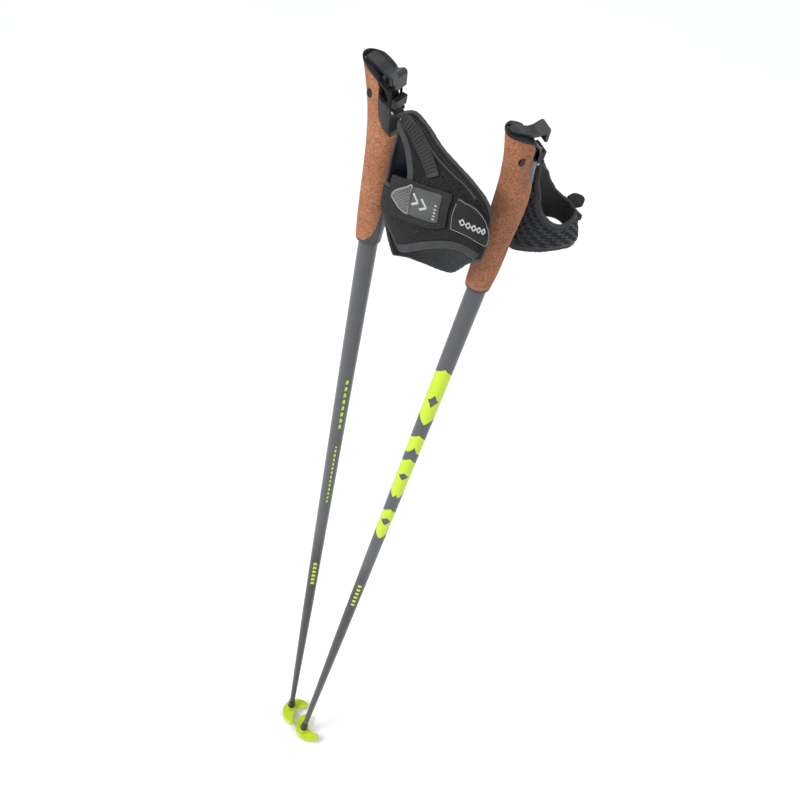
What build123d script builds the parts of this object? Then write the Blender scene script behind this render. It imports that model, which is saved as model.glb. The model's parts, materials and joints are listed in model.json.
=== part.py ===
from build123d import *
import os

# A pair of Nordic walking poles: tapered carbon shafts, cork grips with a press-to-release head,
# glove straps that click into the head, and crescent trail baskets.
# Every piece is made in the frame of its own pole: tip at the origin, +Z up the shaft,
# +X to the rear, where the strap hangs, and +Y to the side. Millimetres.

# ---- driving dimensions ----
SHAFT_TOP_R = 8.45
SHAFT_KNEE_R = 5.75
SHAFT_TIP_R = 3.4
SHAFT_WALL = 1.1
SHAFT_LOW_Z = 22.0
SHAFT_KNEE_Z = 311.0
SHAFT_FULL_Z = 950.0
SHAFT_HIGH_Z = 1086.0

FERRULE_R = 4.9
FERRULE_LOW_Z = 4.0
BASKET_SEAT_R = 5.4
BASKET_SEAT_Z = 14.6
FERRULE_HIGH_Z = 42.0
CARBIDE_R = 1.8
CARBIDE_HIGH_Z = 16.0
BASKET_LOW_Z = 15.0
BASKET_THICK = 5.0
BASKET_BOSS_R = 7.6
BASKET_BOSS_HIGH = 12.0

GRIP_LOW_Z = 972.5
CORK_WALL = 2.4
BOLT_X = -14.0
BOLT_Z = 1125.4
BOLT_R = 1.5
LEVER_PIN_X = -19.0
LEVER_PIN_Z = 1145.6
LEVER_PIN_R = 1.0
RUNNING_GAP = 0.05
SPRING_FLOOR_Z = 1137.4
LEVER_HALF = 5.5
LEVER_NOSE_X = -26.6
CAVITY_HALF = 6.8

HEAD_LOW_Z = 1120.0
NOTCH_Z = 1128.0

BAR_X = 6.2
BAR_Z = 1115.4
BAR_R = 1.0
WEB_HALF = 4.6
GLOVE_THICK = 3.2
TAB_GAP = 0.4
TAB_THICK = 2.2
PATCH_THICK = 0.8
REACH = 60.0

# Where the second pole stands beside the first, and how it leans.
SECOND_TIP = (33.4, -15.5, 0.0)
SECOND_LEAN_X = 3.9
SECOND_LEAN_Y = 2.45
SECOND_TURN = 63.5

# Grip outline: height, centre, fore-and-aft half, side-to-side half.
GRIP_STATIONS = (
    (966.0, -0.5, 11.6, 11.2),
    (985.0, -0.5, 12.4, 11.4),
    (1005.0, -0.5, 13.2, 11.8),
    (1030.0, -0.8, 13.6, 11.8),
    (1052.0, -0.6, 14.4, 12.0),
    (1072.0, -1.0, 14.8, 12.0),
    (1092.0, -3.2, 14.2, 11.6),
    (1110.0, -6.0, 14.0, 11.3),
    (1128.0, -8.8, 15.2, 11.5),
    (1154.0, -12.5, 18.6, 12.0),
)


def grip_body(inset):
    """The grip's outer body, drawn in by a wall thickness."""
    with BuildPart() as body:
        for height, centre, half_long, half_wide in GRIP_STATIONS:
            with BuildSketch(Plane.XY.offset(height)):
                with Locations((centre, 0)):
                    Ellipse(half_long - inset, half_wide - inset)
        loft()
    return body.part


def side_block(points, low_y, high_y):
    """A block with a given outline in the side view, as (x, z) points, between two y planes."""
    with BuildPart() as block:
        with BuildSketch(Plane.XZ.offset(-high_y)):
            with BuildLine():
                Polyline(*points, close=True)
            make_face()
        extrude(amount=high_y - low_y)
    return block.part


def second_pole():
    """The place of the second pole's own frame."""
    lean = Vector(
        sin_deg(SECOND_LEAN_X),
        sin_deg(SECOND_LEAN_Y),
        (1 - sin_deg(SECOND_LEAN_X) ** 2 - sin_deg(SECOND_LEAN_Y) ** 2) ** 0.5,
    )
    rear = Vector(1, 0, 0).rotate(Axis.Z, SECOND_TURN)
    rear = (rear - lean * rear.dot(lean)).normalized()
    return Location(Plane(SECOND_TIP, x_dir=rear, z_dir=lean))


def sin_deg(angle):
    """Sine of an angle in degrees."""
    return Vector(1, 0, 0).rotate(Axis.Z, angle).Y


SECOND_POLE = second_pole()


def save_pair(piece, name):
    """Write a piece for both poles."""
    for hand, place in (("rh", Location()), ("lh", SECOND_POLE)):
        placed = piece.moved(place)
        placed.label = f"{hand}_{name}"
        export_step(placed, f"parts/{hand}_{name}.step")


os.makedirs("parts", exist_ok=True)

# ---- shaft: a carbon tube, full width inside the grip, tapering to the tip ----
with BuildPart() as shaft:
    with BuildSketch(Plane.XZ):
        with BuildLine():
            Polyline(
                (SHAFT_TIP_R - SHAFT_WALL, SHAFT_LOW_Z),
                (SHAFT_TIP_R, SHAFT_LOW_Z),
                (SHAFT_TIP_R, FERRULE_HIGH_Z),
                (SHAFT_KNEE_R, SHAFT_KNEE_Z),
                (SHAFT_TOP_R, SHAFT_FULL_Z),
                (SHAFT_TOP_R, SHAFT_HIGH_Z),
                (SHAFT_TOP_R - SHAFT_WALL, SHAFT_HIGH_Z),
                (SHAFT_TOP_R - SHAFT_WALL, SHAFT_FULL_Z),
                (SHAFT_KNEE_R - SHAFT_WALL, SHAFT_KNEE_Z),
                (SHAFT_TIP_R - SHAFT_WALL, FERRULE_HIGH_Z),
                close=True,
            )
        make_face()
    revolve(axis=Axis.Z)
shaft.part.label = "shaft"
save_pair(shaft.part, "shaft")

# ---- tip ferrule: moulded sleeve on the shaft's end, with a straight stretch for a rubber pad ----
with BuildPart() as tip_ferrule:
    with BuildSketch(Plane.XZ):
        with BuildLine():
            Polyline(
                (CARBIDE_R, FERRULE_LOW_Z),
                (FERRULE_R - 0.6, FERRULE_LOW_Z),
                (FERRULE_R, FERRULE_LOW_Z + 0.6),
                (FERRULE_R, BASKET_SEAT_Z),
                (BASKET_SEAT_R, BASKET_SEAT_Z),
                (BASKET_SEAT_R, BASKET_LOW_Z + BASKET_BOSS_HIGH + 1),
                (SHAFT_TIP_R + 0.5, FERRULE_HIGH_Z),
                (SHAFT_TIP_R, FERRULE_HIGH_Z),
                (SHAFT_TIP_R, SHAFT_LOW_Z),
                (0, SHAFT_LOW_Z),
                (0, CARBIDE_HIGH_Z),
                (CARBIDE_R, CARBIDE_HIGH_Z),
                close=True,
            )
        make_face()
    revolve(axis=Axis.Z)
tip_ferrule.part.label = "tip_ferrule"
save_pair(tip_ferrule.part, "tip_ferrule")

# ---- carbide tip: a round stud with a hollow biting edge ----
with BuildPart() as carbide_tip:
    with BuildSketch(Plane.XZ):
        with BuildLine():
            Polyline(
                (0, 1.1),
                (CARBIDE_R - 0.5, 0),
                (CARBIDE_R, 0.7),
                (CARBIDE_R, CARBIDE_HIGH_Z),
                (0, CARBIDE_HIGH_Z),
                close=True,
            )
        make_face()
    revolve(axis=Axis.Z)
carbide_tip.part.label = "carbide_tip"
save_pair(carbide_tip.part, "carbide_tip")

# ---- basket: a crescent paddle, hollow side to the rear, on a boss that grips the ferrule ----
with BuildPart() as basket:
    with BuildSketch(Plane.XY.offset(BASKET_LOW_Z)) as crescent:
        with Locations((11, 0)):
            Circle(20.5)
        with Locations((22.2, 0)):
            Circle(14.2, mode=Mode.SUBTRACT)
        with Locations((17 + REACH / 2, 0)):
            Rectangle(REACH, REACH, mode=Mode.SUBTRACT)
        fillet(crescent.vertices(), radius=2.6)
    extrude(amount=BASKET_THICK)
    fillet(basket.faces().sort_by(Axis.Z)[-1].edges(), radius=2.0)
    with BuildSketch(Plane.XY.offset(BASKET_LOW_Z)):
        Circle(BASKET_BOSS_R)
    extrude(amount=BASKET_BOSS_HIGH, taper=8)
    with BuildSketch(Plane.XY):
        Circle(BASKET_SEAT_R)
    extrude(amount=REACH, mode=Mode.SUBTRACT)
basket.part.label = "basket"
save_pair(basket.part, "basket")

# ---- through bolt that pins the grip halves: oval heads sunk in the cork ----
with BuildPart() as grip_bolt:
    with BuildSketch(Plane.XZ.offset(-9.0)):
        with Locations((BOLT_X, BOLT_Z)):
            Circle(BOLT_R)
    extrude(amount=18.0)
    with BuildSketch(Plane.XZ.offset(9.0)):
        with Locations((BOLT_X, BOLT_Z)):
            Ellipse(2.7, 4.3)
    extrude(amount=2.6)
    fillet(grip_bolt.faces().sort_by(Axis.Y)[0].edges(), radius=0.9)
grip_bolt.part.label = "grip_bolt"
save_pair(grip_bolt.part, "grip_bolt")

with BuildPart() as grip_nut:
    with BuildSketch(Plane.XZ.offset(-9.0)):
        with Locations((BOLT_X, BOLT_Z)):
            Ellipse(2.7, 4.3)
    extrude(amount=-2.6)
    fillet(grip_nut.faces().sort_by(Axis.Y)[-1].edges(), radius=0.9)
grip_nut.part.label = "grip_nut"
save_pair(grip_nut.part, "grip_nut")

# ---- lever pin: a steel rod across the head ----
with BuildPart() as lever_pin:
    with BuildSketch(Plane.XZ.offset(-8.6)):
        with Locations((LEVER_PIN_X, LEVER_PIN_Z)):
            Circle(LEVER_PIN_R)
    extrude(amount=17.2)
lever_pin.part.label = "lever_pin"
save_pair(lever_pin.part, "lever_pin")

# ---- cork shell: wraps the front and sides, ends in a rounded tongue above the collar ----
CORK_SIDE = (
    (-REACH, 1148.4),
    (-24.0, 1147.4),
    (-14.0, 1144.6),
    (-8.6, 1141.6),
    (-6.2, 1136.0),
    (-5.2, 1122.0),
    (-2.8, 1110.0),
    (1.6, 1100.0),
    (8.0, 1093.0),
    (REACH, 1080.0),
    (REACH, 1050.0),
    (13.2, 1040.0),
    (12.0, 1016.0),
    (9.4, 992.0),
    (6.6, 983.0),
    (2.0, 977.4),
    (-4.0, 975.6),
    (-REACH, 975.6),
)
grip_outside = grip_body(0)
cork_inside = grip_body(CORK_WALL)
cork_block = side_block(CORK_SIDE, -REACH, REACH)
with BuildPart() as cork_shell:
    add(grip_outside)
    add(cork_block, mode=Mode.INTERSECT)
    add(cork_inside, mode=Mode.SUBTRACT)
    add(lever_pin.part, mode=Mode.SUBTRACT)
    add(grip_bolt.part, mode=Mode.SUBTRACT)
    add(grip_nut.part, mode=Mode.SUBTRACT)
cork_shell.part.label = "cork_shell"
save_pair(cork_shell.part, "cork_shell")

# ---- head: the black collar round the top, with the hollow for lever and strap tongue ----
HEAD_SIDE = (
    (-REACH, 1148.4),
    (-24.0, 1147.4),
    (-14.0, 1144.6),
    (-8.6, 1141.6),
    (-2.0, 1136.0),
    (1.6, 1128.0),
    (2.2, 1119.8),
    (REACH, 1119.8),
    (REACH, 1131.6),
    (5.5, 1132.0),
    (1.2, 1134.8),
    (-8.0, 1143.2),
    (-20.0, 1148.6),
    (-31.0, 1150.6),
    (-REACH, 1151.0),
)
head_outside = grip_body(-0.5)
head_block = side_block(HEAD_SIDE, -REACH, REACH)
with BuildPart() as head_housing:
    add(head_outside)
    add(head_block, mode=Mode.INTERSECT)
    with BuildSketch(Plane.XY.offset(HEAD_LOW_Z - 1)):
        with Locations((-9.0, 0)):
            RectangleRounded(38.0, 2 * CAVITY_HALF, 4.0)
    extrude(amount=REACH, mode=Mode.SUBTRACT)
    with BuildSketch(Plane.XY.offset(NOTCH_Z)):
        with Locations((18.0, 0)):
            Rectangle(38.0, 2 * CAVITY_HALF)
    extrude(amount=REACH, mode=Mode.SUBTRACT)
    with BuildSketch(Plane.XY.offset(HEAD_LOW_Z)):
        with Locations((7.0, 0)):
            Rectangle(4.6, 2 * CAVITY_HALF)
    extrude(amount=NOTCH_Z - HEAD_LOW_Z)
    add(lever_pin.part, mode=Mode.SUBTRACT)
head_housing.part.label = "head_housing"
save_pair(head_housing.part, "head_housing")

# ---- core: moulded inner body and rear spine, with the bore for the shaft and the strap channel ----
CORE_SIDE = (
    (-REACH, GRIP_LOW_Z),
    (REACH, GRIP_LOW_Z),
    (REACH, 1119.5),
    (1.6, 1121.0),
    (-2.6, 1134.0),
    (-8.4, 1139.6),
    (-REACH, 1139.4),
)
core_outside = grip_body(0.15)
core_block = side_block(CORE_SIDE, -REACH, REACH)
with BuildPart() as grip_core:
    add(core_outside)
    add(core_block, mode=Mode.INTERSECT)
    add(cork_shell.part, mode=Mode.SUBTRACT)
    add(head_housing.part, mode=Mode.SUBTRACT)
    with BuildSketch(Plane.XY.offset(GRIP_LOW_Z - 1)):
        Circle(SHAFT_TOP_R)
    extrude(amount=SHAFT_HIGH_Z - GRIP_LOW_Z + 1, mode=Mode.SUBTRACT)
    with BuildSketch(Plane.XZ.offset(-CAVITY_HALF)):
        with BuildLine():
            Polyline(
                (-9.5, 1160.0),
                (-9.5, 1121.0),
                (-1.6, 1121.0),
                (-1.6, 1108.0),
                (0.2, 1101.0),
                (3.6, 1096.4),
                (7.6, 1093.6),
                (16.0, 1088.0),
                (30.0, 1088.0),
                (30.0, 1160.0),
                close=True,
            )
        make_face()
    extrude(amount=2 * CAVITY_HALF, mode=Mode.SUBTRACT)
    with BuildSketch(Plane.XZ.offset(-REACH)):
        with BuildLine():
            Polyline((-5.6, 1137.0), (-5.6, 1126.5), (-1.5, 1122.6), (REACH, 1119.0), (REACH, 1137.0), close=True)
        make_face()
    extrude(amount=2 * REACH, mode=Mode.SUBTRACT)
    with BuildSketch(Plane.XY.offset(SPRING_FLOOR_Z)):
        with Locations((-20.0, 0)):
            Rectangle(14.0, 2 * CAVITY_HALF)
    extrude(amount=REACH, mode=Mode.SUBTRACT)
    add(grip_bolt.part, mode=Mode.SUBTRACT)
    add(grip_nut.part, mode=Mode.SUBTRACT)
grip_core.part.label = "grip_core"
save_pair(grip_core.part, "grip_core")

# ---- release lever: thumb pad, raised heel, and the leg whose tooth holds the strap tongue ----
with BuildPart() as release_lever:
    with BuildSketch(Plane.XZ.offset(-LEVER_HALF)):
        with BuildLine():
            Polyline(
                (LEVER_NOSE_X, 1149.6),
                (-25.4, 1151.2),
                (-20.0, 1150.4),
                (-13.0, 1147.6),
                (-7.0, 1146.4),
                (-3.0, 1147.2),
                (3.2, 1151.0),
                (5.6, 1150.4),
                (6.6, 1148.4),
                (7.4, 1137.2),
                (4.8, 1137.2),
                (4.0, 1145.8),
                (-3.0, 1143.6),
                (-14.0, 1144.6),
                (-20.0, 1146.6),
                (-25.4, 1147.4),
                close=True,
            )
        make_face()
    extrude(amount=2 * LEVER_HALF)
    with BuildSketch(Plane.XZ.offset(-2.2)):
        with BuildLine():
            Polyline(
                (-5.4, 1146.0),
                (-5.4, 1127.4),
                (1.8, 1127.4),
                (1.8, 1129.6),
                (-3.4, 1130.4),
                (-3.4, 1146.0),
                close=True,
            )
        make_face()
    extrude(amount=4.4)
    for cheek in (-4.9, 1.9):
        with BuildSketch(Plane.XZ.offset(cheek)):
            with Locations((LEVER_PIN_X, LEVER_PIN_Z)):
                Circle(2.5)
            with Locations((LEVER_PIN_X, LEVER_PIN_Z + 1.0)):
                Rectangle(5.0, 2.0)
        extrude(amount=3.0)
    with BuildSketch(Plane.XZ.offset(-REACH)):
        with Locations((LEVER_PIN_X, LEVER_PIN_Z)):
            Circle(LEVER_PIN_R + RUNNING_GAP)
    extrude(amount=2 * REACH, mode=Mode.SUBTRACT)
    with BuildSketch(Plane.XZ.offset(-1.7)):
        with Locations((LEVER_PIN_X, LEVER_PIN_Z)):
            Circle(2.6)
    extrude(amount=3.4, mode=Mode.SUBTRACT)
    with BuildSketch(Plane.XY.offset(HEAD_LOW_Z)):
        with Locations((LEVER_NOSE_X + LEVER_HALF, 0)):
            Circle(LEVER_HALF)
            Rectangle(REACH, 2 * LEVER_HALF, align=(Align.MIN, Align.CENTER))
    extrude(amount=REACH, mode=Mode.INTERSECT)
release_lever.part.label = "release_lever"
save_pair(release_lever.part, "release_lever")

# ---- return spring: a close-wound coil on the lever pin, its leg on the hollow's floor ----
with BuildPart() as lever_spring:
    with BuildSketch(Plane.XZ.offset(-1.4)):
        with Locations((LEVER_PIN_X, LEVER_PIN_Z)):
            Circle(2.1)
            Circle(LEVER_PIN_R + 0.3, mode=Mode.SUBTRACT)
    extrude(amount=2.8)
    with BuildSketch(Plane.XY.offset(SPRING_FLOOR_Z)):
        with Locations((LEVER_PIN_X, 0)):
            Rectangle(0.8, 0.8)
    extrude(amount=LEVER_PIN_Z - 1.5 - SPRING_FLOOR_Z)
lever_spring.part.label = "lever_spring"
save_pair(lever_spring.part, "lever_spring")

# ---- strap anchor: the moulded tongue that clicks up into the head, with two ears for the bar ----
with BuildPart() as strap_anchor:
    with BuildSketch(Plane.XZ.offset(-4.6)):
        with BuildLine():
            Polyline((0.0, 1133.6), (0.0, 1118.0), (2.2, 1118.0), (2.2, 1132.8), (1.4, 1133.6), close=True)
        make_face()
    extrude(amount=9.2)
    with BuildSketch(Plane.XZ.offset(-6.5)):
        with BuildLine():
            heel = Spline((-0.8, 1119.2), (-0.9, 1110.0), (1.4, 1101.6), (7.6, 1096.2))
            toe = Line(heel @ 1, (8.8, 1097.4))
            nose = Spline(toe @ 1, (5.4, 1102.6), (3.0, 1108.6), (2.2, 1114.0))
            Polyline(nose @ 1, (2.2, 1119.2), heel @ 0)
        make_face()
    extrude(amount=13.0)
    for ear in (-6.5, 5.1):
        with BuildSketch(Plane.XZ.offset(ear)):
            with Locations((BAR_X, BAR_Z)):
                Circle(2.6)
            with Locations((BAR_X - 2.6, BAR_Z)):
                Rectangle(5.2, 5.2)
        extrude(amount=1.4)
    with BuildSketch(Plane.XZ.offset(-6.5)):
        with Locations((BAR_X, BAR_Z)):
            Circle(BAR_R)
    extrude(amount=13.0, mode=Mode.SUBTRACT)
    with BuildSketch(Plane.XY.offset(1124.0)):
        with Locations((1.0, 0)):
            Rectangle(4.0, 5.4)
    extrude(amount=7.0, mode=Mode.SUBTRACT)
strap_anchor.part.label = "strap_anchor"
save_pair(strap_anchor.part, "strap_anchor")

with BuildPart() as strap_bar:
    with BuildSketch(Plane.XZ.offset(-6.4)):
        with Locations((BAR_X, BAR_Z)):
            Circle(BAR_R)
    extrude(amount=12.8)
strap_bar.part.label = "strap_bar"
save_pair(strap_bar.part, "strap_bar")

# ---- straps: webbing, glove halves and wrist closure, one set for each hand ----
# Outlines are side views, as (x, z) points. The left-hand cuff is pulled tighter and hangs lower.
# It is drawn in its own pole's frame, and lies on the other side of the pole's middle plane.
RIGHT_HAND = {
    "hand": "rh",
    "place": Location(),
    "side": -1,
    "mid_y": 16.0,
    "half_thick": 13.5,
    "sections": (
        (970.0, 39.5, 117.0, 1.0),
        (1035.0, 16.0, 117.0, 1.0),
        (1082.0, 16.0, 117.0, 1.0),
        (1132.0, 16.0, 117.0, 0.34),
    ),
    "webbing": ((14.0, 2.6, 1115.2), (23.0, 11.4, 1120.0), (34.0, 14.6, 1118.0)),
    "back": (
        (13.0, 1121.0), (19.0, 1128.0), (27.0, 1131.0), (42.0, 1127.0), (53.0, 1122.0), (62.0, 1118.0),
        (81.0, 1113.0), (99.0, 1106.0), (112.0, 1095.0), (120.0, 1084.0), (120.0, 1045.0), (114.0, 1044.0),
        (104.0, 1048.0), (90.0, 1045.0), (80.0, 1038.0), (71.0, 1031.0), (62.0, 1023.0), (49.0, 1009.0),
        (36.0, 1019.0), (26.0, 1026.0), (13.0, 1029.0), (13.0, 1060.0), (27.0, 1064.0), (37.0, 1070.0),
        (42.0, 1078.0), (42.0, 1087.0), (35.0, 1098.0), (28.0, 1105.0), (20.0, 1110.0), (13.0, 1112.0),
    ),
    "palm": (
        (13.0, 1116.0), (19.0, 1114.0), (21.0, 1095.0), (24.0, 1075.0), (30.0, 1055.0), (43.0, 1039.0),
        (60.0, 1030.0), (76.0, 1032.0), (90.0, 1043.0), (104.0, 1058.0), (120.0, 1068.0), (120.0, 1047.0),
        (106.0, 1028.0), (95.0, 1011.0), (86.0, 998.0), (70.0, 991.0), (46.0, 988.0), (28.0, 984.0),
        (13.0, 1010.0),
    ),
    "closure_tab": (
        (30.0, 1080.0), (44.0, 1085.0), (64.0, 1090.0), (82.5, 1093.5), (84.6, 1065.0), (72.0, 1057.0),
        (43.0, 1046.0), (31.0, 1042.0),
    ),
    "badge_panel": (
        (87.4, 1093.5), (96.0, 1095.0), (104.0, 1094.5), (113.0, 1089.0), (120.0, 1078.0), (120.0, 1059.0),
        (112.0, 1063.0), (103.0, 1066.5), (88.6, 1067.0),
    ),
    "size_patch": ((52.0, 1084.0), (75.0, 1090.5), (78.0, 1068.0), (52.0, 1059.0)),
    "mesh_patch": ((33.0, 1062.0), (40.0, 1075.0), (51.3, 1083.5), (51.3, 1059.0), (43.0, 1056.0)),
}
LEFT_HAND = {
    "hand": "lh",
    "place": SECOND_POLE,
    "side": 1,
    "mid_y": 8.0,
    "half_thick": 12.5,
    "sections": (
        (970.0, 16.0, 95.0, 1.0),
        (1002.0, 16.0, 95.0, 1.0),
        (1040.0, 16.0, 79.0, 1.0),
        (1112.0, 16.0, 79.0, 0.4),
    ),
    "webbing": ((13.5, 2.6, 1110.0), (20.5, 7.4, 1101.0), (30.0, 11.8, 1087.0)),
    "back": (
        (13.0, 1108.0), (17.0, 1107.0), (32.0, 1089.0), (43.0, 1073.0), (56.0, 1057.0), (67.0, 1047.0),
        (76.0, 1041.0), (84.0, 1036.0), (98.0, 1030.0), (98.0, 1006.0), (89.0, 1006.0), (84.0, 1010.0),
        (77.0, 1016.0), (68.0, 1021.0), (60.0, 1022.0), (50.0, 1014.0), (42.0, 1004.0), (33.0, 998.0),
        (24.0, 1000.0), (13.0, 1013.0), (13.0, 1045.0), (24.0, 1047.0), (32.0, 1052.0), (36.0, 1060.0),
        (34.0, 1070.0), (27.0, 1082.0), (20.0, 1094.0), (13.0, 1100.0),
    ),
    "palm": (
        (13.0, 1104.0), (17.0, 1100.0), (20.0, 1088.0), (26.0, 1072.0), (30.0, 1059.0), (36.0, 1049.0),
        (44.0, 1041.0), (53.0, 1034.0), (63.0, 1030.0), (70.0, 1031.0), (77.0, 1033.0), (98.0, 1034.0),
        (98.0, 1003.0), (92.0, 994.0), (84.0, 996.0), (75.0, 999.5), (62.0, 1002.0), (49.0, 1004.0),
        (34.0, 1007.0), (25.0, 1008.5), (13.0, 1013.0),
    ),
    "closure_tab": (
        (23.0, 1050.0), (34.0, 1053.5), (46.0, 1052.0), (65.0, 1045.0), (66.0, 1024.0), (46.0, 1022.0),
        (22.0, 1021.0),
    ),
    "badge_panel": (
        (67.5, 1044.0), (76.0, 1038.5), (90.0, 1032.0), (90.0, 1012.0), (84.0, 1013.0), (77.0, 1018.5),
        (68.5, 1023.5),
    ),
    "size_patch": ((38.0, 1051.0), (59.0, 1046.0), (59.5, 1026.0), (37.0, 1025.0)),
    "mesh_patch": ((25.0, 1038.0), (29.0, 1047.0), (37.3, 1050.5), (36.3, 1025.5), (28.0, 1028.0)),
}


def cuff_solid(strap, swell):
    """The whole cuff as a solid: ovals that narrow towards the strap bar, grown by a swell."""
    with BuildPart() as body:
        for height, front_x, rear_x, squeeze in strap["sections"]:
            with BuildSketch(Plane.XY.offset(height)):
                with Locations(((front_x + rear_x) / 2, strap["side"] * strap["mid_y"] * squeeze)):
                    Ellipse((rear_x - front_x) / 2 + swell, strap["half_thick"] * squeeze + swell)
        loft(ruled=True)
    return body.part


def cuff_body(strap, outer, inner):
    """A tube of the cuff's shape, between two distances outside its surface."""
    with BuildPart() as body:
        add(cuff_solid(strap, outer))
        add(cuff_solid(strap, inner), mode=Mode.SUBTRACT)
    return body.part


def cuff_side(strap, far):
    """Everything on the far or near side of the cuff's middle surface."""
    reach = strap["side"] * (REACH if far else -REACH)
    with BuildPart() as body:
        for height, front_x, rear_x, squeeze in strap["sections"]:
            middle = strap["side"] * strap["mid_y"] * squeeze
            with BuildSketch(Plane.XY.offset(height)):
                with Locations((66.0, middle + reach / 2)):
                    Rectangle(140.0, REACH)
        loft(ruled=True)
    return body.part


def cuff_piece(strap, tube, outline, far):
    """The part of a cuff tube inside a side outline, on the far or near side of the cuff's middle."""
    with BuildPart() as piece:
        add(tube)
        add(side_block(outline, -REACH, REACH), mode=Mode.INTERSECT)
        add(cuff_side(strap, far), mode=Mode.INTERSECT)
    return piece.part


def webbing_body(strap):
    """A loop round the strap bar, then a band that turns and runs onto the glove."""
    side = strap["side"]
    first, middle, last = (Vector(x, side * y, z) for x, y, z in strap["webbing"])
    with BuildPart() as body:
        with BuildSketch(Plane.XZ.offset(-WEB_HALF)):
            with Locations((BAR_X, BAR_Z)):
                Circle(3.0)
                Circle(BAR_R + RUNNING_GAP, mode=Mode.SUBTRACT)
        extrude(amount=2 * WEB_HALF)
        for place, along, width in (
            (Vector(8.8, 0, 1113.4), Vector(0, side, 0), 9.2),
            (first, Vector(0.2, 0.9 * side, 0.15), 9.4),
            (middle, Vector(0.55, 0.35 * side, 0.65), 11.0),
            (last, Vector(0.55, 0.05 * side, 0.7), 12.0),
        ):
            with BuildSketch(Plane(place, x_dir=along, z_dir=Vector(0.8, 0.3 * side, -0.5))):
                Rectangle(width, 2.2)
        loft(ruled=True)
    return body.part


def save_strap(strap, piece, name):
    """Write one strap piece at its pole."""
    placed = piece.moved(strap["place"])
    placed.label = f"{strap['hand']}_{name}"
    export_step(placed, f"parts/{strap['hand']}_{name}.step")


for strap in (RIGHT_HAND, LEFT_HAND):
    webbing = webbing_body(strap)
    save_strap(strap, webbing, "web_strap")
    cuff_tube = cuff_body(strap, 0, -GLOVE_THICK)
    for name, outline, far in (("glove_back", "back", True), ("glove_palm", "palm", False)):
        half = cuff_piece(strap, cuff_tube, strap[outline], far)
        with BuildPart() as glove_half:
            add(half)
            add(webbing, mode=Mode.SUBTRACT)
        save_strap(strap, glove_half.part, name)
    tab_tube = cuff_body(strap, TAB_GAP + TAB_THICK, TAB_GAP)
    patch_tube = cuff_body(strap, TAB_GAP + TAB_THICK + PATCH_THICK, TAB_GAP + TAB_THICK)
    for name, tube in (
        ("closure_tab", tab_tube),
        ("badge_panel", tab_tube),
        ("size_patch", patch_tube),
        ("mesh_patch", patch_tube),
    ):
        save_strap(strap, cuff_piece(strap, tube, strap[name], True), name)
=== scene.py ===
import json
import math

import bmesh
import bpy
import numpy as np
from mathutils import Matrix, Vector, noise
from mathutils.geometry import delaunay_2d_cdt


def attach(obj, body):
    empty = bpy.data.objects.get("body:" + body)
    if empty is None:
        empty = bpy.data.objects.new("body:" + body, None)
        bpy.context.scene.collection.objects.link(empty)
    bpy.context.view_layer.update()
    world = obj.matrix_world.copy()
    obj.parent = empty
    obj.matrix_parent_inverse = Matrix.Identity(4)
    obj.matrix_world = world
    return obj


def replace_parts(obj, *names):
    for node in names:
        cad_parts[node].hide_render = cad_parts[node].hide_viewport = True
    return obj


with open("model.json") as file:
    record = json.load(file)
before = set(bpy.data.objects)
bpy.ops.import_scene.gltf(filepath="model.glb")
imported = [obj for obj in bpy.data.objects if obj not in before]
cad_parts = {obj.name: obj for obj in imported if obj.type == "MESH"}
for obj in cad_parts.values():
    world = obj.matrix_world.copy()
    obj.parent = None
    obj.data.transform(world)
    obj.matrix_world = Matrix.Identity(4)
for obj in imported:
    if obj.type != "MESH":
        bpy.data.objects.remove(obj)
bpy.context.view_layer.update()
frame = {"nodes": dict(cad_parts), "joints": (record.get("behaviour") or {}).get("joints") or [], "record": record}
record = frame["record"]

MM = 0.001
HANDS = ("rh", "lh")

# ---- camera: place in metres, angles in degrees, lens and sensor in millimetres ----
CAMERA_PLACE = (0.4245, -0.6779, 1.7614)
CAMERA_TURN = 28.01
CAMERA_DOWN = 51.40
CAMERA_ROLL = 12.56
CAMERA_LENS = 58.38
SENSOR = 36.0


# ================= places taken from the frame =================
def mount(name):
    return next(m for m in record["mounts"] if m["name"] == name)


def joint(name):
    return next(j for j in frame["joints"] if j["name"] == name)


def pole_frame(hand):
    """A pole's own frame: tip at the origin, +Z up the shaft, +X to the rear, where the strap hangs."""
    up = Vector(mount(f"{hand}_hand_grip")["axis"])
    side = -Vector(joint(f"{hand}_strap_swing")["axis"])
    rear = side.cross(up).normalized()
    turn = Matrix((rear, side, up)).transposed().to_4x4()
    return Matrix.Translation(mount(f"{hand}_ground_tip")["pos_m"]) @ turn


POLES = {hand: pole_frame(hand) for hand in HANDS}


def local_box(node):
    """A CAD node's lowest and highest corners in its own pole's frame."""
    back = POLES[node[:2]].inverted()
    points = np.array([back @ v.co for v in frame["nodes"][node].data.vertices])
    return points.min(0), points.max(0)


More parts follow.
